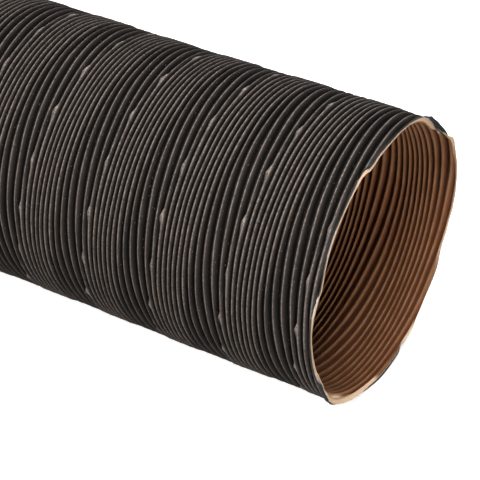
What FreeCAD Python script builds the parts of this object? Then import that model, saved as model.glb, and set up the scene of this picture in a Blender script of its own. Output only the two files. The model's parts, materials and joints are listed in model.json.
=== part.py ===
"""Flexible air duct: three spiral-wound strips pleated into one self-supporting tube.

From the inside out the wall is a kraft paper liner, an aluminium foil strip and a coated outer
paper. The strips are wound side by side round the axis. Along one turn of the winding the outer
paper first overlaps itself (the lap, short stiff ridges) and then runs single (the pleats, wide
ridges that open and close when the duct bends). Each turn is one bay of the chain: its lap is
firm, and its pleats carry the bending or the stretch to the next bay.

Frame: the origin is the centre of the front mouth, +X points out of that mouth along the axis,
+Z is up. All sizes are in millimetres and come from the sheet named Sizes.
"""
import FreeCAD, Part
import os
import Sketcher

TURNS = 13

SIZES = [
    ("bore_radius", "40", "inside of the liner, a push fit on an 80 mm spigot"),
    ("crest_radius", "42", "outside of every ridge"),
    ("cut_length", "300", "mouth to mouth"),
    ("kraft_thickness", "0.2", "liner, measured radially"),
    ("foil_thickness", "0.07", "foil strip, measured radially"),
    ("paper_thickness", "0.25", "one layer of the outer paper, measured radially"),
    ("glue_film", "0.03", "space that the glue fills between two strips"),
    ("lap_pitch", "1.72", "ridge to ridge where the outer paper is double"),
    ("lap_ridges", "6", "ridges in one lap"),
    ("pleat_pitch", "2.65", "ridge to ridge where the outer paper is single"),
    ("pleat_ridges", "5", "ridges between two laps"),
    ("flat_share", "0.21", "part of a pitch that is flat on a crest, and again in a valley"),
    ("fold_spread", "0.02", "how much further a fold reaches to each side in the next strip out"),
    ("foil_edge", "2.4", "how far the foil runs on past the last ridge at a mouth"),
    ("paper_edge", "1.6", "how far the outer paper runs on past the last ridge at a mouth"),
]

LAP_LENGTH = "(Sizes.lap_pitch * Sizes.lap_ridges)"
PLEATS_LENGTH = "(Sizes.pleat_pitch * Sizes.pleat_ridges)"
LEAD = f"({LAP_LENGTH} + {PLEATS_LENGTH})"
LIP_LENGTH = f"((Sizes.cut_length - {TURNS} * {LAP_LENGTH} - {TURNS - 1} * {PLEATS_LENGTH}) / 2)"

LINER_STACK = "(Sizes.kraft_thickness + Sizes.foil_thickness + 2 * Sizes.glue_film)"

# Each strip: how many strips lie inside it, how far its inside stands off the bore, and the
# thickness of one layer.
STRIPS = {
    "kraft": (0, "0", "Sizes.kraft_thickness"),
    "foil": (1, "(Sizes.kraft_thickness + Sizes.glue_film)", "Sizes.foil_thickness"),
    "outer_paper": (2, LINER_STACK, "Sizes.paper_thickness"),
}

# Each kind of section: its pitch, its number of ridges and its layers of outer paper.
SECTIONS = {
    "lap": ("Sizes.lap_pitch", "Sizes.lap_ridges", 2),
    "pleats": ("Sizes.pleat_pitch", "Sizes.pleat_ridges", 1),
}


def make_sheet(doc):
    """The driving dimensions, one named cell each."""
    sheet = doc.addObject("Spreadsheet::Sheet", "Sizes")
    for row, (alias, value, meaning) in enumerate(SIZES, start=1):
        sheet.set(f"A{row}", value)
        sheet.setAlias(f"A{row}", alias)
        sheet.set(f"B{row}", meaning)
    doc.recompute()
    return sheet


def strip_layers(strip, section):
    """Layers of a strip in a section: only the outer paper doubles, in a lap."""
    return SECTIONS[section][2] if strip == "outer_paper" else 1


def ridge_outline(strip, section, start):
    """One ridge of a strip, from valley middle to valley middle, as (x, radius) expressions."""
    pitch, _, layers = SECTIONS[section]
    depth, stand_off, layer = STRIPS[strip]
    valley = f"(Sizes.bore_radius + {stand_off})"
    stack = f"({LINER_STACK} + {layers} * Sizes.paper_thickness)"
    crest = f"(Sizes.crest_radius - {stack} + {stand_off})"
    thickness = f"{strip_layers(strip, section)} * {layer}"
    half_flat = f"Sizes.flat_share / 2 * {pitch}"
    spread = f"{depth} * Sizes.fold_spread"
    inside = [
        (f"{start}", valley),
        (f"{start} + {half_flat} - {spread}", valley),
        (f"{start} + {pitch} / 2 - {half_flat} - {spread}", crest),
        (f"{start} + {pitch} / 2 + {half_flat} + {spread}", crest),
        (f"{start} + {pitch} - {half_flat} + {spread}", valley),
        (f"{start} + {pitch}", valley),
    ]
    outside = [(x, f"{radius} + {thickness}") for x, radius in reversed(inside)]
    return inside + outside


def band_outline(strip, length):
    """A plain band of a strip with no ridges, as (x, radius) expressions."""
    _, stand_off, layer = STRIPS[strip]
    inner = f"(Sizes.bore_radius + {stand_off})"
    outer = f"{inner} + {layer}"
    return [("0", inner), (length, inner), (length, outer), ("0", outer)]


def origin_plane(body, role):
    """The origin plane of a body that plays the given role."""
    return next(plane for plane in body.Origin.OriginFeatures if plane.Role == role)


def place_corner(sketch, line, x, radius, sheet):
    """Tie a line's first point to its expressions."""
    if sheet.evalExpression(x) == 0:
        sketch.addConstraint(Sketcher.Constraint("PointOnObject", line, 1, -2))
    else:
        across = sketch.addConstraint(
            Sketcher.Constraint("DistanceX", -1, 1, line, 1, sheet.evalExpression(x))
        )
        sketch.setExpression(f"Constraints[{across}]", x)
    up = sketch.addConstraint(
        Sketcher.Constraint("DistanceY", -1, 1, line, 1, sheet.evalExpression(radius))
    )
    sketch.setExpression(f"Constraints[{up}]", radius)


def outline_sketch(body, name, outline, sheet):
    """A closed outline on the body's XZ plane, every corner bound to the sheet."""
    sketch = body.newObject("Sketcher::SketchObject", name)
    sketch.AttachmentSupport = [(origin_plane(body, "XZ_Plane"), "")]
    sketch.MapMode = "FlatFace"
    corners = [
        FreeCAD.Vector(sheet.evalExpression(x), sheet.evalExpression(radius), 0)
        for x, radius in outline
    ]
    count = len(corners)
    for index in range(count):
        sketch.addGeometry(Part.LineSegment(corners[index], corners[(index + 1) % count]))
    for index in range(count):
        sketch.addConstraint(Sketcher.Constraint("Coincident", index, 2, (index + 1) % count, 1))
    for index, (x, radius) in enumerate(outline):
        place_corner(sketch, index, x, radius, sheet)
    return sketch


def revolve(body, name, sketch):
    """Turn an outline once round the duct's axis."""
    ring = body.newObject("PartDesign::Revolution", name)
    ring.Profile = sketch
    ring.ReferenceAxis = (sketch, ["H_Axis"])
    ring.Angle = 360
    return ring


def add_section(body, strip, section, start, sheet):
    """One ridge of a strip and its repeats along the axis."""
    pitch, ridges, _ = SECTIONS[section]
    outline = ridge_outline(strip, section, start)
    sketch = outline_sketch(body, f"{section}_outline", outline, sheet)
    ring = revolve(body, f"{section}_ridge", sketch)
    pattern = body.newObject("PartDesign::LinearPattern", f"{section}_ridges")
    pattern.Originals = [ring]
    pattern.Direction = (sketch, ["H_Axis"])
    pattern.setExpression("Length", f"{pitch} * ({ridges} - 1)")
    pattern.setExpression("Occurrences", ridges)
    body.Tip = pattern


def new_body(doc, label, far_end):
    """An empty body whose -X end stands at the given distance behind the front mouth."""
    body = doc.addObject("PartDesign::Body", label)
    body.Label = label
    body.setExpression("Placement.Base.x", f"-({far_end})")
    return body


def make_corrugated(doc, sheet, label, strip, sections, far_end):
    """A strip's stretch of ridges: its sections in order from the far end towards +X."""
    body = new_body(doc, label, far_end)
    start = "0"
    for section in sections:
        add_section(body, strip, section, start, sheet)
        start = PLEATS_LENGTH if section == "pleats" else LAP_LENGTH
    return body


def make_band(doc, sheet, label, strip, length, far_end):
    """A strip's plain band at a mouth."""
    body = new_body(doc, label, far_end)
    sketch = outline_sketch(body, "band_outline", band_outline(strip, length), sheet)
    body.Tip = revolve(body, "band", sketch)
    return body


def make_turn(doc, sheet, turn):
    """The pieces of one turn of the winding; the last turn has no pleats after it."""
    lap_far_end = f"{LIP_LENGTH} + {turn - 1} * {LEAD} + {LAP_LENGTH}"
    turn_far_end = f"{LIP_LENGTH} + {turn} * {LEAD}"
    last = turn == TURNS
    sections = ["lap"] if last else ["pleats", "lap"]
    far_end = lap_far_end if last else turn_far_end
    lap = f"outer_paper_lap_{turn:02d}"
    pieces = [make_corrugated(doc, sheet, lap, "outer_paper", ["lap"], lap_far_end)]
    if not last:
        pleats = f"outer_paper_pleats_{turn:02d}"
        pieces.append(make_corrugated(doc, sheet, pleats, "outer_paper", ["pleats"], turn_far_end))
    for strip in ("foil", "kraft"):
        label = f"{strip}_turn_{turn:02d}"
        pieces.append(make_corrugated(doc, sheet, label, strip, sections, far_end))
    return pieces


def make_mouths(doc, sheet):
    """The uncorrugated edges of the three strips at both mouths."""
    bands = [
        ("kraft_{}_lip", "kraft", LIP_LENGTH),
        ("foil_{}_edge", "foil", "Sizes.foil_edge"),
        ("outer_paper_{}_edge", "outer_paper", "Sizes.paper_edge"),
    ]
    pieces = []
    for label, strip, length in bands:
        front_end = LIP_LENGTH
        rear_end = f"Sizes.cut_length - {LIP_LENGTH} + {length}"
        pieces.append(make_band(doc, sheet, label.format("front"), strip, length, front_end))
        pieces.append(make_band(doc, sheet, label.format("rear"), strip, length, rear_end))
    return pieces


def check(doc, pieces):
    """Stop before anything is written if an object failed or a piece isn't one good solid."""
    for item in doc.Objects:
        if "Invalid" in item.State or "Error" in item.State:
            raise RuntimeError(f"{item.Label} failed: {item.State}")
    for piece in pieces:
        shape = piece.Shape
        if shape.isNull() or not shape.isValid() or len(shape.Solids) != 1:
            raise RuntimeError(f"{piece.Label} isn't one valid solid")


def main():
    doc = FreeCAD.newDocument("flexible_air_duct")
    sheet = make_sheet(doc)
    pieces = make_mouths(doc, sheet)
    for turn in range(1, TURNS + 1):
        pieces += make_turn(doc, sheet, turn)
    doc.recompute()
    check(doc, pieces)
    os.makedirs("parts", exist_ok=True)
    for piece in pieces:
        piece.Shape.exportStep(f"parts/{piece.Label}.step")
    print(len(pieces), "pieces written")


main()
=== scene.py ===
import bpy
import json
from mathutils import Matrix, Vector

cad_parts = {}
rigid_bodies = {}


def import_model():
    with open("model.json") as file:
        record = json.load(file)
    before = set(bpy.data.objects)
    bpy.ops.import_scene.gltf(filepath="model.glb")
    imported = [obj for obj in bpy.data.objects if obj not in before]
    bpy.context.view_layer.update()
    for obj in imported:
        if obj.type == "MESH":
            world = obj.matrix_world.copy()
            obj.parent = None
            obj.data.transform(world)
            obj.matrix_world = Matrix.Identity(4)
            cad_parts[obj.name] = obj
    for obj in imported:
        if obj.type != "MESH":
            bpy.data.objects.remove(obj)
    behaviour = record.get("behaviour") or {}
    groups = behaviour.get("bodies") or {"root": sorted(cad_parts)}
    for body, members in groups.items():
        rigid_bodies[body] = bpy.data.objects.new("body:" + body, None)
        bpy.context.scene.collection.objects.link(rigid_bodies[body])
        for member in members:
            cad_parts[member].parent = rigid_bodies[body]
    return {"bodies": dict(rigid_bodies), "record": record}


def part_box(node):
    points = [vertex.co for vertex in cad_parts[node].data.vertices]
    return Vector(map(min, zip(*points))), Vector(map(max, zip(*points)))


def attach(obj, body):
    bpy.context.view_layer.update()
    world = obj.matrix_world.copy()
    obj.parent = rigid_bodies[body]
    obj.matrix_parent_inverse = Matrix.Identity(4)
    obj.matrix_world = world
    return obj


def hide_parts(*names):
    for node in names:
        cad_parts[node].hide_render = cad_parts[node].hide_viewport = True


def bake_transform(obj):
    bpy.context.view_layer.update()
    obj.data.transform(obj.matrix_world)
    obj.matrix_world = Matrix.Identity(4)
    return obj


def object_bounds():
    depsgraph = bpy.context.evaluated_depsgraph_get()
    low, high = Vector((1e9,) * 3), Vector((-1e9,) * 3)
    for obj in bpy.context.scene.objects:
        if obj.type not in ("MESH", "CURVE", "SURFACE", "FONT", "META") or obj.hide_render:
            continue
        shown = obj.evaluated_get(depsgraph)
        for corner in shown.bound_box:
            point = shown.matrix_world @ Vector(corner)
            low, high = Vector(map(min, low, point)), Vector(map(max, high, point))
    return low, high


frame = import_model()

# Six ridges run round the duct side by side as a right-handed screw, and the strips' edges run the
# other way, so a strip's edge steps over every ridge in turn. Each strip is one long grid whose
# rows follow the ridges and whose columns follow the strip's edge. It is cut into spans; the end
# spans ride on the end bays. Angles are in turns about +X, counted from +Y towards +Z.
"""Flexible air duct lying on its side, seen from the front and above its open mouth.

The wall is wound from three strips: coated outer paper, aluminium foil and a kraft paper liner.
Six ridges run round the duct side by side as a right-handed screw, and the strips' edges run the
other way, so a strip's edge steps over every ridge in turn. Each strip is one long grid whose rows
follow the ridges and whose columns follow the strip's edge. It is cut into spans that bend with
the joints. Angles are in turns about +X, counted from +Y towards +Z.
"""
import json
import math
import bpy
import numpy as np
from mathutils import Vector

MM = 0.001
CAD_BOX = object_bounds()


# ---------------------------------------------------------------- sizes from the frame

def mount_radius(name):
    """The radius of a round mount, in metres."""
    mount = next(m for m in frame["record"]["mounts"] if m["name"] == name)
    return mount["dims"]["r_mm"] * MM


def middle_x(node):
    """Half way along a CAD node, on the duct's axis."""
    low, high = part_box(node)
    return (low.x + high.x) / 2


BORE = mount_radius("front_bore")
CREST = CAD_BOX[1].y
FRONT = CAD_BOX[1].x
REAR = CAD_BOX[0].x
FLOOR = CAD_BOX[0].z
EDGE_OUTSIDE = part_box("outer_paper_front_edge")[1].y
FOIL_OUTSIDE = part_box("foil_front_edge")[1].y
BAYS = sorted(frame["bodies"])
LAP_MIDDLES = [middle_x(f"outer_paper_lap_{bay[-2:]}") for bay in BAYS]
LEAD = LAP_MIDDLES[0] - LAP_MIDDLES[1]

# ---------------------------------------------------------------- the winding pattern

STARTS = 6                      # ridges side by side, as on a six-start screw
RIDGES_PER_LEAD = 11.6          # counted along the axis from one strip edge to the next
CROSSINGS = RIDGES_PER_LEAD + STARTS    # ridges that the strip's edge steps over in one turn
BUNCHING = 0.28                 # ridges stand closer where the outer paper is double
BUNCHED_AT = 0.27               # where along a lead they stand closest
SEAM_AT = 6.4 * MM              # where the outer paper's edge would meet the angle 0
LAP_SHARE = 0.44                # part of a lead where the outer paper is double
PLY_FADES = (0.12, 0.04)        # leads from double to single, and from single to double
LAYER = 0.20 * MM               # how far one more layer of paper stands out

# The duct isn't pulled out evenly: how far the pattern lags at some places along it.
LAG_AT = np.array([-320, -296, -116, -92, -48, 0, 30]) * MM
LAG = np.array([0.0, 0.0, -2.65, -2.68, -0.14, 0.0, 0.0]) * MM
PLACE_ROUNDS = 6                # rounds of finding a place on the uneven duct


def smooth(value):
    """0 below 0, 1 above 1, and an even curve between them."""
    share = np.clip(value, 0, 1)
    return share * share * (3 - 2 * share)


def mix(first, second, share):
    """The first value at share 0 and the second at share 1."""
    return first + (second - first) * share


def random_waves(seed, count, most_per_turn, shortest):
    """Waves that close round the duct: whole periods per turn, periods per metre, phase, size."""
    draw = np.random.default_rng(seed)
    per_turn = draw.integers(-most_per_turn, most_per_turn + 1, count)
    per_metre = draw.uniform(-1, 1, count) / shortest
    phase = draw.uniform(0, 1, count)
    size = draw.uniform(0.4, 1.0, count)
    return per_turn, per_metre, phase, size / size.sum() * 2


def wave_sum(waves, x, turns):
    """An even spread of ups and downs, seldom outside -1 to 1."""
    total = np.zeros(np.shape(x))
    for per_turn, per_metre, phase, size in zip(*waves):
        total = total + size * np.cos(2 * np.pi * (per_turn * turns + per_metre * x + phase))
    return total


DRIFT_WAVES = random_waves(seed=3, count=14, most_per_turn=14, shortest=5 * MM)
HEIGHT_WAVES = random_waves(seed=5, count=16, most_per_turn=30, shortest=3 * MM)
ROUND_WAVES = random_waves(seed=8, count=8, most_per_turn=4, shortest=60 * MM)
DRIFT = 0.13 * MM               # how far a ridge strays from its even screw line
UNEVEN_HEIGHT = 0.05            # how far a crest's height strays, as part of the ridge's depth
OUT_OF_ROUND = 0.22 * MM

# Where the outer paper is double, and where it is single: how sharp a fold's top is (2 is round),
# and how broad and how pale the line along its crest and the haze beside the line are. The line is
# partly rubbed paper and partly painted highlight; the haze is painted highlight. Breadths and the
# line's place are parts of the ridges' spacing.
SHARPNESS = (1.9, 1.45)
RUB_AND_HIGHLIGHT_AT = -0.06
RUB_AND_HIGHLIGHT_LINE_BREADTH = (0.09, 0.055)
RUB_AND_HIGHLIGHT_LINE_PALE = (0.58, 0.75)
HIGHLIGHT_HAZE_BREADTH = (0.22, 0.16)
HIGHLIGHT_HAZE_PALE = (0.22, 0.08)


def pattern_place(x, turns):
    """Where along an evenly pulled duct a point of this duct belongs."""
    return x + np.interp(x, LAG_AT, LAG) - DRIFT * wave_sum(DRIFT_WAVES, x, turns)


def real_place(place, turns):
    """The other way round: the x of a place on the evenly pulled duct."""
    x = place
    for _ in range(PLACE_ROUNDS):
        x = x + place - pattern_place(x, turns)
    return x


def strip_share(x, turns):
    """How many leads a point lies to the right of the outer paper's edge."""
    return (pattern_place(x, turns) - SEAM_AT) / LEAD + turns


def bunched(share):
    """The place across the strip with the ridges drawn together where the paper is double."""
    return share + BUNCHING / (2 * np.pi) * np.sin(2 * np.pi * (share - BUNCHED_AT))


def ridge_number(share, turns):
    """Whole on a crest, and half way between two whole numbers in a valley."""
    return RIDGES_PER_LEAD * bunched(share) - CROSSINGS * turns


def single_ply(share):
    """1 where the outer paper is a single layer and 0 where it lies double."""
    past_edge = np.mod(share, 1)
    begins, ends = PLY_FADES
    return smooth((past_edge - LAP_SHARE) / begins) * smooth((1 - past_edge) / ends)


def ridge_height(strip, share, ridge, x, turns):
    """0 in a valley and 1 on a crest. The paper's folds are round on top with narrow valleys;
    the liner's are round both ways."""
    off_crest = np.abs(ridge - np.round(ridge))
    round_both = 0.5 + 0.5 * np.cos(2 * np.pi * off_crest)
    round_top = 1 - (2 * off_crest) ** mix(*SHARPNESS, single_ply(share))
    height = mix(round_both, round_top, strip["round_top"])
    return height * (1 + UNEVEN_HEIGHT * wave_sum(HEIGHT_WAVES, x, turns))


def rub_and_highlight(share, ridge):
    """How pale a fold's crest is painted, partly as rubbed paper and partly as painted highlight: a
    thin line between laps, a broad one in a lap.
    """
    off_line = ridge - np.round(ridge) - RUB_AND_HIGHLIGHT_AT
    single = single_ply(share)
    line = np.exp(-(off_line / mix(*RUB_AND_HIGHLIGHT_LINE_BREADTH, single)) ** 2)
    highlight_haze = np.exp(-(off_line / mix(*HIGHLIGHT_HAZE_BREADTH, single)) ** 2)
    return mix(*RUB_AND_HIGHLIGHT_LINE_PALE, single) * line + mix(*HIGHLIGHT_HAZE_PALE, single) * highlight_haze


# ---------------------------------------------------------------- the two cut mouths

# Round each mouth, as (degrees, mm): how far the liner's cut edge lies outwards, how much shorter
# the outer paper is, how far back the ridges are pressed flat, how far the lip opens, and how far
# back the lip starts.
FRONT_MOUTH = {
    "liner": [
        (2, 1.3), (10, 1.5), (17, 1.7), (22, 1.7), (28, 1.9), (33, 2.3), (36.5, 2.4), (38, 0.2),
        (40, -2.4), (43, -2.4), (47, -2.0), (52, -1.4), (57, -0.9), (62, -0.4), (66, -0.1),
        (72, 0.0), (79, 0.1), (87, 0.0), (102, -0.1), (106, 0.1), (109, 0.0), (111.5, -0.6),
        (114, -0.9), (118, -0.8), (135, -0.8), (145, -0.7), (149, -0.5), (158, 0.0),
        (163, -0.4), (167, -0.7), (171, -1.0), (179, -1.2), (187, -1.0), (196, -0.7),
        (203, 0.0), (207, 0.5), (215, 0.3), (220, 0.5), (226, -0.2), (236, -0.6), (245, -0.4),
        (259, -0.3), (265, 0.0), (273, 0.1), (283, 0.1), (288, 0.0), (291, 0.3), (297, 0.4),
        (304, 0.0), (312, -0.1), (325, 0.3), (334, -0.1), (346, 0.4), (354, 1.0),
    ],
    "paper_short": [
        (0, 0.9), (28, 1.6), (33, 2.0), (36.5, 2.1), (38, -0.2), (40, -2.6), (43, -2.5),
        (47, -2.1), (52, -1.5), (57, -0.9), (62, -0.3), (66, 0.15), (72, 0.3), (100, 0.35),
        (108, 0.4), (112, 0.9), (114, 1.0), (117, 0.5), (121, 0.35), (150, 0.3), (175, 0.4),
        (190, 0.5), (203, 0.7), (212, 0.4), (240, 0.4), (252, 0.3), (262, -0.1), (270, -0.4),
        (284, -0.3), (290, 0.4), (312, 0.8), (340, 0.8),
    ],
    "pressed": [
        (0, 1.0), (20, 1.2), (34, 1.8), (58, 1.4), (72, 1.6), (84, 1.5), (96, 1.2), (108, 1.2),
        (116, 1.6), (130, 0.9), (160, 0.8), (190, 1.2), (208, 1.6), (222, 1.8), (234, 2.0),
        (246, 1.8), (260, 1.4), (275, 1.0), (286, 1.8), (294, 2.0), (304, 1.2), (330, 0.8),
        (345, 0.9),
    ],
    "flare": [
        (0, 0.3), (14, 0.3), (26, 0.2), (34, 0.4), (44, 0.4), (52, 0.7), (60, 1.3), (66, 1.8),
        (76, 1.6), (84, 1.1), (92, 0.6), (100, 0.2), (112, 0.0), (192, 0.1), (203, 0.6), (215, 1.4),
        (220, 2.1), (226, 2.2), (236, 1.9), (244, 1.5), (252, 1.1), (258, 0.7), (264, 0.3),
        (270, 0.0), (286, 0.0), (290, 0.3), (297, 0.3), (303, 0.0), (325, 0.1), (345, 0.3),
    ],
    "lip_depth": [
        (20, 0.8), (40, 1.1), (52, 1.5), (66, 1.8), (80, 1.6), (92, 1.2), (150, 0.6), (205, 1.5),
        (226, 2.5), (244, 2.0), (258, 1.2), (270, 0.8), (290, 0.9), (300, 0.8),
    ],
}
REAR_MOUTH = {
    "liner": [(20, 0.5), (75, -0.4), (120, 0.7), (170, 0.1), (215, 0.9), (262, -0.2), (320, 0.6)],
    "paper_short": [(15, 0.6), (80, 0.3), (150, 0.9), (230, 0.4), (300, 0.7)],
    "pressed": [(30, 1.4), (90, 3.0), (160, 1.2), (240, 2.2), (310, 1.0)],
    "flare": [(30, 0.1), (90, 0.8), (160, 0.1), (240, 0.6), (310, 0.0)],
    "lip_depth": [(0, 1.0), (90, 1.4), (180, 1.0), (240, 1.5)],
}
FLAT_LEVEL = 0.42               # how high a pressed-flat edge lies between valley and crest
LIP_LOWERS = 0.75               # part of that height that a full lip takes away
LEFT_OF_RIDGE = 0.12            # part of a ridge's height that is left at the cut itself
RISE_DELAY = 0.2                # how late a pressed ridge starts to rise; 0 is at the cut
LIP_STANDS = 0.5 * MM           # a lip that stands out this far counts as a full one
LIP_FADE = 3                    # a lip is a full one from a third of its depth on
LIP_REACH = 1.5                 # how far past the liner's cut a lip goes on opening, in depths


def around(knots, turns):
    """A smooth closed curve through (degrees, mm) knots, read at angles in turns."""
    angles = np.array([angle for angle, _ in knots], float)
    values = np.array([value for _, value in knots], float)
    angles = np.concatenate([[angles[-1] - 360], angles, [angles[0] + 360]])
    values = np.concatenate([[values[-1]], values, [values[0]]])
    asked = np.mod(turns, 1) * 360
    after = np.clip(np.searchsorted(angles, asked, side="right"), 1, len(angles) - 1)
    share = (asked - angles[after - 1]) / (angles[after] - angles[after - 1])
    return mix(values[after - 1], values[after], smooth(share)) * MM


def front_cut(turns, edge):
    """The x of a strip's cut edge at the front mouth: edge 0 is the liner's, 1 the paper's.
    Where the paper reaches past the liner the foil doesn't go with it."""
    liner = FRONT + around(FRONT_MOUTH["liner"], turns)
    short = around(FRONT_MOUTH["paper_short"], turns)
    return liner - edge * np.maximum(short, 0) - (edge == 1) * np.minimum(short, 0)


def rear_cut(turns, edge):
    """The same at the rear mouth, where no strip reaches past the liner."""
    liner = REAR - around(REAR_MOUTH["liner"], turns)
    return liner + edge * around(REAR_MOUTH["paper_short"], turns)


def ridge_left(x, turns):
    """How much of a ridge's height is left near the pressed mouths: 1 away from them."""
    front = (front_cut(turns, 0) - x) / around(FRONT_MOUTH["pressed"], turns)
    rear = (x - rear_cut(turns, 0)) / around(REAR_MOUTH["pressed"], turns)
    front_rise = smooth(front * (1 + RISE_DELAY) - RISE_DELAY)
    rear_rise = smooth(rear * (1 + RISE_DELAY) - RISE_DELAY)
    return mix(LEFT_OF_RIDGE, 1, front_rise * rear_rise)


def flare(x, turns):
    """How far the lips at the mouths stand out, like a short funnel, and how much of a lip
    a place is, from 0 to 1."""
    stands_out, lip = 0, 0
    ends = (
        (FRONT_MOUTH, front_cut(turns, 0) - x),
        (REAR_MOUTH, x - rear_cut(turns, 0)),
    )
    for mouth, back in ends:
        most = around(mouth["flare"], turns)
        near = np.clip(1 - back / around(mouth["lip_depth"], turns), 0, LIP_REACH)
        stands_out = stands_out + near * most
        lip = lip + np.minimum(most / LIP_STANDS, 1) * smooth(near * LIP_FADE)
    return stands_out, lip


# ---------------------------------------------------------------- the strips

# valley, crest: the strip's radius in a valley and on a crest.
# shift: how far its edge lies to the right of the outer paper's edge, in leads.
# side: 1 shows its outside, -1 its inside.
# layer: how far its next turn lies on the last, towards the side that shows.
# lap: part of a lead where it lies on its last turn.
# edge: where it is cut at a mouth, from 0 for the liner's cut to 1 for the outer paper's.
# across, degrees: rows of the grid to a ridge, and the step from one column to the next.
# round_top: 1 for folds that are round on top with narrow valleys, 0 for round both ways.
STRIPS = {
    "outer_paper": {
        "valley": EDGE_OUTSIDE, "crest": CREST - LAYER, "shift": 0.0, "side": 1,
        "layer": LAYER, "lap": LAP_SHARE, "edge": 1, "across": 10, "degrees": 1.5,
        "slot": "outer_paper", "round_top": 1,
    },
    "foil": {
        "valley": FOIL_OUTSIDE, "crest": CREST - LAYER - (EDGE_OUTSIDE - FOIL_OUTSIDE),
        "shift": 0.3, "side": 1, "layer": 0.02 * MM, "lap": 0.2, "edge": 0.93, "across": 6,
        "degrees": 3.0, "slot": "foil", "round_top": 0,
    },
    "kraft": {
        "valley": BORE, "crest": CREST - LAYER - (EDGE_OUTSIDE - BORE), "shift": 0.62,
        "side": -1, "layer": 0.10 * MM, "lap": 0.2, "edge": 0, "across": 9, "degrees": 1.8,
        "slot": "kraft_liner", "round_top": 0,
    },
}
COVER_FADE = 0.08               # part of a lead over which a lap's lift fades out
CREST_TURN = 2 * math.pi * CREST    # once round the duct, along the crests
ROW_SHIFT = 0.045               # how far rows move towards crests and valleys, in ridges
ROWS_OVER = (0.75, 1.1)         # turns of rows past the rear mouth and past the front one
TUCKED = 0.6 * MM               # how far a strip runs on under its next turn
TUCK_IN = 0.05 * MM             # how far its hidden end lies inwards
FOOT_GAP = 0.04 * MM            # how far a cut edge's wall reaches into the turn below

# Where the stiff cut edge of a strip steps over a ridge it stands up as a small tab. Places are
# in ridges from the crest, and the tabs differ in size from ridge to ridge.
TAB_LENGTH = 2.4 * MM           # along the ridge
TAB_COLUMNS = [0, 0.12, 0.26, 0.42, 0.6, 0.8]    # the grid's first columns, in tab lengths
TAB_FROM = -0.34
TAB_RISE = 0.10
TAB_TO = 0.02
TAB_FALL = 0.28
TAB_SIZE = 0.75
TAB_VARIES = 0.45
TAB_BEATS = (2.4, 1.1)          # the sizes' uneven beat, in radians from ridge to ridge
TAB_BEAT_START = 0.7
TAB_OUT = 0.20 * MM             # how far a tab stands off
TAB_ASIDE = 1.0 * MM            # how far it leans towards the rear
# Tabs of the outer paper are painted pale, partly as rubbed paper and partly as painted highlight.
TAB_RUBBED_AND_HIGHLIGHT = 0.18               # how pale a tab of the outer paper is
LINER_TAB_HIGHLIGHT = 0.3                  # how much painted highlight a liner's tab gets, in the lip's colour
EDGE_RUBBED = 0.2               # how pale the outer paper's cut edge is where it lies flat


def lap_cover(strip, share):
    """1 where the strip lies on its last turn and 0 where it is single."""
    past_edge = share - strip["shift"]
    return 1 - smooth((past_edge - strip["lap"]) / COVER_FADE)


def strip_radius(strip, x, turns, share):
    """A strip's shown surface, and the ridge height there."""
    ridge = ridge_number(share, turns)
    height = ridge_height(strip, share, ridge, x, turns)
    stands_out, lip = flare(x, turns)
    flat = FLAT_LEVEL * (1 - LIP_LOWERS * lip)
    pressed = mix(flat, height, ridge_left(x, turns))
    radius = mix(strip["valley"], strip["crest"], pressed) + stands_out
    radius = radius + strip["side"] * strip["layer"] * lap_cover(strip, share)
    return radius + OUT_OF_ROUND * wave_sum(ROUND_WAVES, x, turns), height


def tab_weight(past_edge, ridge):
    """How much of a tab stands at a place, given how far it lies past the strip's edge."""
    fade = 1 - smooth(past_edge * CREST_TURN / TAB_LENGTH)
    crest = np.round(ridge)
    off_crest = ridge - crest
    rise = smooth((off_crest - TAB_FROM) / TAB_RISE)
    fall = np.clip((TAB_TO - off_crest) / TAB_FALL, 0, 1)
    quick, slow = TAB_BEATS
    beat = np.cos(quick * crest) * np.cos(slow * crest + TAB_BEAT_START)
    return fade * rise * fall * (TAB_SIZE + TAB_VARIES * beat)


def edge_columns(strip):
    """Where the strip's edge crosses ridge 0, and places along a ridge from there to the next
    turn's edge, in turns, closer at the edge."""
    first = RIDGES_PER_LEAD * bunched(strip["shift"]) / CROSSINGS
    length = RIDGES_PER_LEAD / CROSSINGS
    step = strip["degrees"] / 360
    near = np.array(TAB_COLUMNS) * TAB_LENGTH / CREST_TURN
    rest = np.arange(step, length, step) + near[-1]
    tuck = length + np.array([0.0, TUCKED / CREST_TURN])
    return first, np.concatenate([near, rest[rest < length - step / 2], tuck])


def share_of_column(column):
    """The place across the strip, in leads, of a line that runs along its edge."""
    table = np.linspace(-0.5, 2.5, 6001)
    return np.interp(column, RIDGES_PER_LEAD * bunched(table) / CROSSINGS, table)


def strip_rows(strip):
    """Ridge numbers of the grid's rows, from the rear mouth to the front one."""
    across = strip["across"]
    even = np.arange(across) / across
    within = even - ROW_SHIFT * np.sin(4 * np.pi * even)
    rear_turns, front_turns = ROWS_OVER
    lowest = math.floor(CROSSINGS * (REAR - 6 * MM) / LEAD) - CROSSINGS * rear_turns
    highest = CROSSINGS * front_turns + STARTS
    whole = np.arange(math.floor(lowest), math.ceil(highest))
    return (whole[:, None] + within[None, :]).ravel()


def cut_to_mouths(strip, x, turns):
    """Points past a cut edge move back onto it. Returns the new x and which points moved."""
    front = front_cut(turns, strip["edge"])
    rear = rear_cut(turns, strip["edge"])
    outside = (x > front) | (x < rear)
    return np.clip(x, rear, front), outside


def to_points(x, turns, radius):
    """Points from their places along and round the duct."""
    angle = 2 * np.pi * turns
    return np.stack([x, radius * np.cos(angle), radius * np.sin(angle)], -1)


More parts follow.
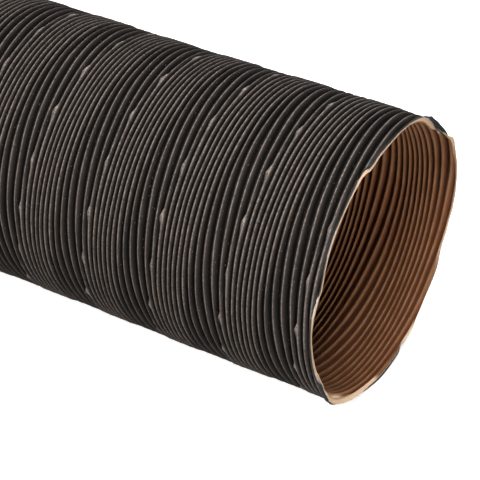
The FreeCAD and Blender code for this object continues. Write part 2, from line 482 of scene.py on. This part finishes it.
def edge_shape(strip, past, rows, left):
    """Two grids: how much of a tab stands at each place, and 1 along the strip's cut edge."""
    on_ridge = rows if strip["side"] > 0 else rows + 0.5
    tab = tab_weight(past[None, :], on_ridge) * left
    tab[:, -2:] = 0
    edge = np.zeros_like(left)
    edge[:, 0] = 1
    return tab, edge


def strip_points(strip, x, turns, radius, raised):
    """The grid's points with their tabs raised, and the foot of the cut edge's wall."""
    radius = radius + TAB_OUT * raised
    x = x - TAB_ASIDE * raised
    radius[:, -1] -= strip["side"] * TUCK_IN
    foot_radius = radius[:, :1] - strip["side"] * (strip["layer"] + FOOT_GAP)
    foot = to_points(x[:, :1], turns[:, :1], foot_radius - TAB_OUT * raised[:, :1])
    return to_points(x, turns, radius), foot


def strip_surface(strip):
    """The strip's grid: its points, which of them lie past a cut, and what its material reads."""
    first, past = edge_columns(strip)
    rows = strip_rows(strip)[:, None]
    column = (first + past)[None, :]
    turns = column - rows / CROSSINGS
    share = share_of_column(column) + np.zeros_like(turns)
    x = real_place(SEAM_AT + LEAD * (share - turns), turns)
    x, outside = cut_to_mouths(strip, x, turns)
    share = strip_share(x, turns)
    radius, height = strip_radius(strip, x, turns, share)
    left = ridge_left(x, turns)
    tab, edge = edge_shape(strip, past, rows, left)
    outer = strip["slot"] == "outer_paper"
    points, foot = strip_points(strip, x, turns, radius, tab * outer)
    # Tabs painted pale, partly rubbed and partly painted highlight; the flat cut edge rubbed pale.
    worn_edge_and_tab_highlight = np.maximum(TAB_RUBBED_AND_HIGHLIGHT * tab, EDGE_RUBBED * edge) * outer
    values = {
        "ridge_height": mix(0.5, height, left),
        # Crest lines: partly rubbed paper, partly painted highlight.
        "rub_and_highlight": np.maximum(rub_and_highlight(share, rows) * left, worn_edge_and_tab_highlight),
        "pressed": 1 - left,
        # Liner tabs get painted highlight in the lip's pale colour.
        "lip": np.maximum(flare(x, turns)[1], LINER_TAB_HIGHLIGHT * tab),
    }
    values = {name: with_wall(value, value[:, :1]) for name, value in values.items()}
    return with_wall(points, foot), with_wall(outside, outside[:, :1]), values


def with_wall(columns, foot):
    """Adds the cut edge's own wall before the surface: a foot column and a top column."""
    return np.concatenate([foot, columns[:, :1], columns], 1)


def grid_faces(outside, side):
    """Four-sided faces of the grid, without those that lie wholly past a cut edge."""
    rows, columns = outside.shape
    index = np.arange(rows * columns).reshape(rows, columns)
    left = np.array([column for column in range(columns - 1) if column != 1])
    corners = [index[:-1, left], index[1:, left], index[1:, left + 1], index[:-1, left + 1]]
    gone = np.logical_and.reduce([outside.ravel()[corner] for corner in corners])
    faces = np.stack([corner[~gone] for corner in corners], -1)
    return faces if side < 0 else faces[:, ::-1]


def vertex_normals(points, faces):
    """Even normals over the whole strip, so that its spans meet without a line."""
    across = points[faces[:, 2]] - points[faces[:, 0]]
    along = points[faces[:, 3]] - points[faces[:, 1]]
    normal = np.cross(across, along)
    total = np.zeros_like(points)
    for corner in range(4):
        for axis in range(3):
            total[:, axis] += np.bincount(faces[:, corner], normal[:, axis], len(points))
    length = np.linalg.norm(total, axis=1, keepdims=True)
    return total / np.maximum(length, 1e-12)


# ---------------------------------------------------------------- meshes

def new_piece(mesh, values, material):
    """An object for a mesh, with float attributes on its vertices and a material."""
    for attribute, value in values.items():
        layer = mesh.attributes.new(attribute, "FLOAT", "POINT")
        layer.data.foreach_set("value", value.astype(np.float32))
    mesh.materials.append(material)
    piece = bpy.data.objects.new(mesh.name, mesh)
    bpy.context.scene.collection.objects.link(piece)
    return piece


def make_span(name, points, faces, normals, values, material):
    """A smooth piece made of some faces of a strip's grid."""
    used, new_faces = np.unique(faces, return_inverse=True)
    mesh = bpy.data.meshes.new(name)
    mesh.from_pydata(points[used], [], new_faces.reshape(faces.shape))
    mesh.shade_smooth()
    mesh.normals_split_custom_set_from_vertices(normals[used])
    values = {attribute: value[used] for attribute, value in values.items()}
    return new_piece(mesh, values, material)


def span_of_faces(points, faces):
    """Which span each face belongs to: 0 is before the first lap's middle, at the front."""
    middle = points[faces, 0].mean(1)
    return np.searchsorted(-np.array(LAP_MIDDLES), -middle)


def hold_span(piece, span):
    """End spans ride on the end bays; every other span is left unattached, with its transform baked
    in.
    """
    if span == 0:
        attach(piece, BAYS[0])
    elif span == len(BAYS):
        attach(piece, BAYS[-1])
    else:
        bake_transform(piece)


def replaced_nodes(strip_name, span):
    """The CAD nodes that a span of a strip stands for."""
    if strip_name == "outer_paper":
        if span == 0:
            return ["outer_paper_lap_01"]
        if span == len(BAYS):
            return ["outer_paper_rear_edge"]
        return [f"outer_paper_pleats_{span:02d}", f"outer_paper_lap_{span + 1:02d}"]
    if span == 0:
        return ["kraft_front_lip" if strip_name == "kraft" else "foil_front_edge"]
    return [f"{strip_name}_turn_{span:02d}"]


def make_strip(name, material):
    """All spans of one strip."""
    strip = STRIPS[name]
    points, outside, values = strip_surface(strip)
    faces = grid_faces(outside, strip["side"])
    points = points.reshape(-1, 3)
    normals = vertex_normals(points, faces)
    values = {name: value.ravel() for name, value in values.items()}
    spans = span_of_faces(points, faces)
    for span in range(len(BAYS) + 1):
        chosen = faces[spans == span]
        piece = make_span(
            f"{name}_span_{span:02d}", points, chosen, normals, values, material
        )
        hold_span(piece, span)
        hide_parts(*replaced_nodes(name, span))


# ---------------------------------------------------------------- the cut edges at the mouths

RIM_STEPS = 1440                # points round a mouth
PAPER_WALL = 0.25 * MM
FOIL_WALL = 0.07 * MM
LINER_WALL = 0.20 * MM
CUT_EDGE_VALUES = {"ridge_height": 0.5, "rub_and_highlight": 0.0, "pressed": 1.0, "lip": 1.0}
CUT_STEPS = 5                   # rings of points across the liner's bare edge
LEAST_BARE = 0.05 * MM          # the least that shows of the liner's outside at its cut
CUT_DEPTH = 0.4 * MM            # how far the cut edges run back between the strips


def rim_radius(name, x, turns):
    """The radius of a strip's shown surface at a place on a mouth's rim."""
    strip = STRIPS[name]
    share = strip_share(x, turns)
    whole = np.floor(share - strip["shift"])
    return strip_radius(strip, x, turns - whole, share - whole)[0]


def ring_band(name, rings, material):
    """A closed band through several rings of points, each an (x, radius) pair of arrays."""
    turns = np.arange(RIM_STEPS) / RIM_STEPS
    points = np.concatenate([to_points(x, turns, radius) for x, radius in rings])
    index = np.arange(RIM_STEPS)
    after = np.roll(index, -1)
    faces = []
    for ring in range(len(rings) - 1):
        low, high = ring * RIM_STEPS, (ring + 1) * RIM_STEPS
        faces.append(np.stack([low + index, low + after, high + after, high + index], -1))
    mesh = bpy.data.meshes.new(name)
    mesh.from_pydata(points, [], np.concatenate(faces))
    values = {key: np.full(len(points), value) for key, value in CUT_EDGE_VALUES.items()}
    return new_piece(mesh, values, material)


def rim_rings(cut, outwards):
    """Each strip's rings at a mouth: its cut edge, and what shows of its hidden side. Outwards
    is 1 at the front mouth and -1 at the rear one."""
    turns = np.arange(RIM_STEPS) / RIM_STEPS
    x_liner = cut(turns, 0)
    x_paper = cut(turns, 1)
    x_foil = cut(turns, STRIPS["foil"]["edge"])
    x_bare = outwards * np.minimum(outwards * x_paper, outwards * x_liner - LEAST_BARE)
    back = x_bare - outwards * CUT_DEPTH

    def ring(name, x, wall=0):
        """A ring on a strip's shown surface, or a wall's thickness off it."""
        return x, rim_radius(name, x, turns) + wall

    steps = np.linspace(0, 1, CUT_STEPS)
    paper_inside = [ring("outer_paper", mix(x_paper, back, step), -PAPER_WALL) for step in steps]
    liner_outside = [ring("kraft", mix(x_bare, x_liner, step), LINER_WALL) for step in steps]
    return {
        "outer_paper": [ring("outer_paper", x_paper)] + paper_inside,
        "foil": [ring("foil", back), ring("foil", x_foil), ring("foil", x_foil, -FOIL_WALL)],
        "kraft": [ring("kraft", back, LINER_WALL)] + liner_outside + [ring("kraft", x_liner)],
    }


def make_rim(end, cut, outwards, bay, materials):
    """The three strips' cut edges at one mouth."""
    for name, rings in rim_rings(cut, outwards).items():
        piece = ring_band(f"{name}_{end}_cut", rings, materials[name])
        if outwards < 0:
            piece.data.flip_normals()
        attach(piece, bay)
        if (name, end) == ("outer_paper", "front"):
            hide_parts("outer_paper_front_edge")
        if (name, end) == ("foil", "rear"):
            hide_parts("foil_rear_edge")
        if (name, end) == ("kraft", "rear"):
            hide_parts("kraft_rear_lip")


# ---------------------------------------------------------------- materials

def new_material(name):
    """A node material, its nodes and links, and its shader."""
    material = bpy.data.materials.new(name)
    material.use_nodes = True
    nodes = material.node_tree.nodes
    return material, nodes, material.node_tree.links, nodes["Principled BSDF"]


def add(nodes, kind, **settings):
    """A shader node with its properties and, by name, its input values."""
    node = nodes.new(kind)
    for key, value in settings.items():
        if key in node.inputs:
            node.inputs[key].default_value = value
        else:
            setattr(node, key, value)
    return node


def noise(nodes, links, scale, detail, roughness=0.6, stretch=(1, 1, 1)):
    """Noise in the object's own space; stretch is larger where it changes faster."""
    place = add(nodes, "ShaderNodeTexCoord")
    mapping = add(nodes, "ShaderNodeMapping", Scale=stretch)
    links.new(place.outputs["Object"], mapping.inputs["Vector"])
    cloud = add(nodes, "ShaderNodeTexNoise", Scale=scale, Detail=detail, Roughness=roughness)
    links.new(mapping.outputs["Vector"], cloud.inputs["Vector"])
    return cloud.outputs["Fac"]


def ramp(nodes, links, source, stops):
    """A colour ramp through (place, grey or colour) stops."""
    node = add(nodes, "ShaderNodeValToRGB")
    elements = node.color_ramp.elements
    while len(elements) < len(stops):
        elements.new(0.5)
    for element, (place, colour) in zip(elements, stops):
        element.position = place
        colour = (colour,) * 3 if isinstance(colour, (int, float)) else colour
        element.color = (*colour, 1)
    links.new(source, node.inputs["Fac"])
    return node.outputs["Color"]


def blend_colours(nodes, links, share, first, second):
    """Mixes two colours, given as sockets or as plain colours."""
    node = add(nodes, "ShaderNodeMix", data_type="RGBA")
    share_in, first_in, second_in = node.inputs[0], node.inputs[6], node.inputs[7]
    for socket, value in ((share_in, share), (first_in, first), (second_in, second)):
        if isinstance(value, bpy.types.NodeSocket):
            links.new(value, socket)
        elif socket is share_in:
            socket.default_value = value
        else:
            socket.default_value = (*value, 1)
    return node.outputs[2]


def multiply(nodes, links, first, second):
    """A socket times another socket or a number."""
    node = add(nodes, "ShaderNodeMath", operation="MULTIPLY")
    links.new(first, node.inputs[0])
    if isinstance(second, bpy.types.NodeSocket):
        links.new(second, node.inputs[1])
    else:
        node.inputs[1].default_value = second
    return node.outputs[0]


def attribute(nodes, name):
    """What the mesh says at each vertex under this name."""
    return add(nodes, "ShaderNodeAttribute", attribute_name=name).outputs["Fac"]


def add_bump(nodes, links, shader, height, distance, strength):
    """Fine relief, up to distance metres high."""
    bump = add(nodes, "ShaderNodeBump", Distance=distance, Strength=strength)
    links.new(height, bump.inputs["Height"])
    links.new(bump.outputs["Normal"], shader.inputs["Normal"])


# The coated paper: black with painted shade in a valley, on its folds (two tones), a crest line
# partly rubbed through and partly painted highlight, pressed flat; its dust.
PAPER_BLACK_VALLEY_SHADE = (0.004, 0.0035, 0.003)
PAPER_DARK = (0.018, 0.015, 0.0135)
PAPER_BROWN = (0.033, 0.026, 0.0225)
# The pale crest colour: partly rubbed paper, partly painted highlight.
PAPER_WORN_AND_HIGHLIGHT = (0.38, 0.32, 0.285)
PAPER_PRESSED = (0.040, 0.042, 0.046)
DUST = (0.42, 0.38, 0.34)


def outer_paper_material():
    """Coated black paper, with painted shade that makes the valleys black and the folds greyer and
    browner, a pale line along each crest that is partly rubbed paper and partly painted highlight,
    and specks of dust."""
    material, nodes, links, shader = new_material("coated_outer_paper")
    broad = noise(nodes, links, scale=90, detail=5)
    patches = ramp(nodes, links, broad, [(0.35, 0.0), (0.68, 1.0)])
    folds = blend_colours(nodes, links, patches, PAPER_DARK, PAPER_BROWN)
    height = attribute(nodes, "ridge_height")
    # Painted shade: darkest in the valleys and fading out up the folds, by ridge height.
    raised = ramp(nodes, links, height, [(0.15, 0.0), (0.60, 0.30), (0.98, 1.0)])
    body = blend_colours(nodes, links, raised, PAPER_BLACK_VALLEY_SHADE, folds)
    body = blend_colours(nodes, links, attribute(nodes, "pressed"), body, PAPER_PRESSED)
    # The pale crest line, partly rubbed paper and partly painted highlight, broken up by grain.
    grain = noise(nodes, links, scale=1300, detail=4, roughness=0.75)
    rub_and_highlight_grain = ramp(nodes, links, grain, [(0.36, 0.18), (0.62, 1.0)])
    wear_and_highlight = multiply(nodes, links, attribute(nodes, "rub_and_highlight"), rub_and_highlight_grain)
    worn_and_highlight = blend_colours(nodes, links, wear_and_highlight, body, PAPER_WORN_AND_HIGHLIGHT)
    fine = noise(nodes, links, scale=2600, detail=2, roughness=0.5)
    speck = ramp(nodes, links, fine, [(0.72, 0.0), (0.77, 0.7)])
    colour = blend_colours(nodes, links, speck, worn_and_highlight, DUST)
    links.new(colour, shader.inputs["Base Color"])
    sheen = noise(nodes, links, scale=240, detail=4)
    gloss = ramp(nodes, links, sheen, [(0.3, 0.48), (0.7, 0.64)])
    links.new(gloss, shader.inputs["Roughness"])
    shader.inputs["Specular IOR Level"].default_value = 0.04
    relief = noise(nodes, links, scale=2200, detail=5, roughness=0.7)
    add_bump(nodes, links, shader, relief, distance=0.00012, strength=0.55)
    return material


# The kraft paper's two tones and its fibres, painted shade in its grooves, and its lip, partly bare
# rubbed paper and partly painted highlight.
KRAFT_DARK = (0.155, 0.066, 0.028)
KRAFT_LIGHT = (0.224, 0.113, 0.054)
KRAFT_FIBRE = (0.11, 0.039, 0.013)
# Painted shade for the grooves.
KRAFT_GROOVE_SHADE = (0.090, 0.026, 0.008)
# The lip's colour: partly rubbed paper, partly painted highlight.
KRAFT_LIP_RUBBED_AND_HIGHLIGHT = (0.55, 0.39, 0.26)


def kraft_material():
    """Brown kraft paper: cloudy, with short darker fibres, painted shade in the grooves and a pale
    lip that is partly rubbed paper and partly painted highlight.
    """
    material, nodes, links, shader = new_material("kraft_liner")
    clouds = noise(nodes, links, scale=160, detail=6, roughness=0.65)
    cloud = ramp(nodes, links, clouds, [(0.32, 0.0), (0.70, 1.0)])
    base = blend_colours(nodes, links, cloud, KRAFT_DARK, KRAFT_LIGHT)
    streaks = noise(nodes, links, scale=900, detail=3, stretch=(2.4, 0.7, 0.7))
    fibre = ramp(nodes, links, streaks, [(0.60, 0.0), (0.74, 0.55)])
    fibrous = blend_colours(nodes, links, fibre, base, KRAFT_FIBRE)
    # Painted shade in the grooves, by ridge height.
    groove_shade_mask = ramp(nodes, links, attribute(nodes, "ridge_height"), [(0.18, 0.0), (0.72, 0.92)])
    groove_shaded = blend_colours(nodes, links, groove_shade_mask, fibrous, KRAFT_GROOVE_SHADE)
    # The lip painted pale: partly rubbed paper, partly painted highlight.
    lip = ramp(nodes, links, attribute(nodes, "lip"), [(0.10, 0.0), (0.60, 1.0)])
    colour = blend_colours(nodes, links, lip, groove_shaded, KRAFT_LIP_RUBBED_AND_HIGHLIGHT)
    links.new(colour, shader.inputs["Base Color"])
    shader.inputs["Roughness"].default_value = 0.82
    shader.inputs["Specular IOR Level"].default_value = 0.25
    relief = noise(nodes, links, scale=1500, detail=5, roughness=0.7)
    add_bump(nodes, links, shader, relief, distance=0.00010, strength=0.5)
    return material


# The foil's two tones.
FOIL_DULL = (0.42, 0.44, 0.47)
FOIL_BRIGHT = (0.62, 0.64, 0.67)


def foil_material():
    """Rolled aluminium foil with fine creases."""
    material, nodes, links, shader = new_material("aluminium_foil")
    clouds = noise(nodes, links, scale=300, detail=4)
    tone = ramp(nodes, links, clouds, [(0.3, FOIL_DULL), (0.7, FOIL_BRIGHT)])
    links.new(tone, shader.inputs["Base Color"])
    shader.inputs["Metallic"].default_value = 1.0
    shader.inputs["Roughness"].default_value = 0.42
    relief = noise(nodes, links, scale=1200, detail=4)
    add_bump(nodes, links, shader, relief, distance=0.0001, strength=0.6)
    return material


def seen_directly(nodes):
    """1 for what the picture shows and 0 for what only lights the duct."""
    return add(nodes, "ShaderNodeLightPath").outputs["Is Camera Ray"]


FLOOR_BOUNCE = 0.50             # how much light the floor throws back onto the duct
FLOOR_WHITE = 0.95              # how white it is in the picture
FLOOR_GLOW = 0.75               # light of its own that only the picture shows


def floor_material():
    """A pale studio floor: almost white in the picture, but it throws little light back up."""
    material, nodes, links, shader = new_material("studio_floor")
    grey = (FLOOR_BOUNCE,) * 3
    white = (FLOOR_WHITE,) * 3
    shade = blend_colours(nodes, links, seen_directly(nodes), grey, white)
    links.new(shade, shader.inputs["Base Color"])
    shader.inputs["Roughness"].default_value = 0.9
    shader.inputs["Specular IOR Level"].default_value = 0.0
    shader.inputs["Emission Color"].default_value = (1, 1, 1, 1)
    glow = multiply(nodes, links, seen_directly(nodes), FLOOR_GLOW)
    links.new(glow, shader.inputs["Emission Strength"])
    return material


# ---------------------------------------------------------------- studio

CAMERA_AZIMUTH = 31.508         # degrees round from the -Y side towards the front mouth
CAMERA_ELEVATION = 35.799
CAMERA_DISTANCE = 0.5305        # metres from the place it aims at
CAMERA_AIM = Vector((-0.04839, 0, -0.01057))
CAMERA_LENS = 135.2             # mm, on a sensor 36 mm wide


def make_camera():
    """The picture's viewpoint, through a long lens."""
    azimuth = math.radians(CAMERA_AZIMUTH)
    elevation = math.radians(CAMERA_ELEVATION)
    back = Vector((
        math.sin(azimuth) * math.cos(elevation),
        -math.cos(azimuth) * math.cos(elevation),
        math.sin(elevation),
    ))
    data = bpy.data.cameras.new("camera")
    data.lens = CAMERA_LENS
    data.sensor_width = 36
    data.clip_start = 0.01
    data.clip_end = 20
    camera = bpy.data.objects.new("camera", data)
    camera.location = CAMERA_AIM + back * CAMERA_DISTANCE
    camera.rotation_mode = "QUATERNION"
    camera.rotation_quaternion = (-back).to_track_quat("-Z", "Y")
    bpy.context.scene.collection.objects.link(camera)
    bpy.context.scene.camera = camera


def add_area_light(name, place, aim, size, power, colour):
    """A round soft light."""
    data = bpy.data.lights.new(name, "AREA")
    data.shape = "DISK"
    data.size = size
    data.energy = power
    data.color = colour
    light = bpy.data.objects.new(name, data)
    light.location = place
    light.rotation_mode = "QUATERNION"
    light.rotation_quaternion = (Vector(aim) - Vector(place)).to_track_quat("-Z", "Y")
    bpy.context.scene.collection.objects.link(light)


WHITE = (1.0, 1.0, 1.0)
COOL = (0.85, 0.92, 1.0)
WARM = (1.0, 0.95, 0.88)
MIDDLE = (-0.08, 0, 0)
# Name, place, where it shines, size in metres, power in watts, colour.
LIGHTS = [
    ("overhead", (0.15, -0.35, 0.95), MIDDLE, 0.32, 12.6, WHITE),
    ("left", (-0.85, -0.75, 0.55), MIDDLE, 0.5, 9, WHITE),
    ("back", (-0.5, 0.7, 0.9), MIDDLE, 0.7, 7, COOL),
    ("front", (0.95, -0.50, 0.04), (0, 0, 0), 0.4, 5.4, WARM),
    ("low", (0.16, -0.09, -0.03), (-0.01, 0.02, 0.03), 0.10, 0.19, WARM),
]
WORLD_LIGHT = 0.11              # how bright the surroundings are to the duct


def make_lights():
    """The studio lights, and surroundings that are white in the picture and dim to the duct."""
    for light in LIGHTS:
        add_area_light(*light)
    world = bpy.data.worlds.new("studio")
    world.use_nodes = True
    nodes, links = world.node_tree.nodes, world.node_tree.links
    sky = nodes["Background"]
    shade = blend_colours(nodes, links, seen_directly(nodes), (WORLD_LIGHT,) * 3, (1, 1, 1))
    links.new(shade, sky.inputs["Color"])
    bpy.context.scene.world = world
    bpy.context.scene.view_settings.view_transform = "Standard"


def make_floor():
    """A wide plane under the duct."""
    reach = 6.0
    around_it = [(-reach, -reach), (reach, -reach), (reach, reach), (-reach, reach)]
    corners = [(x, y, FLOOR) for x, y in around_it]
    mesh = bpy.data.meshes.new("floor")
    mesh.from_pydata(corners, [], [(0, 1, 2, 3)])
    mesh.materials.append(floor_material())
    floor = bpy.data.objects.new("floor", mesh)
    bpy.context.scene.collection.objects.link(floor)


# ---------------------------------------------------------------- build

def main():
    """Builds the duct and its studio."""
    materials = {
        "outer_paper": outer_paper_material(),
        "foil": foil_material(),
        "kraft": kraft_material(),
    }
    for name in STRIPS:
        make_strip(name, materials[name])
    make_rim("front", front_cut, 1, BAYS[0], materials)
    make_rim("rear", rear_cut, -1, BAYS[-1], materials)
    make_camera()
    make_lights()
    make_floor()


main()
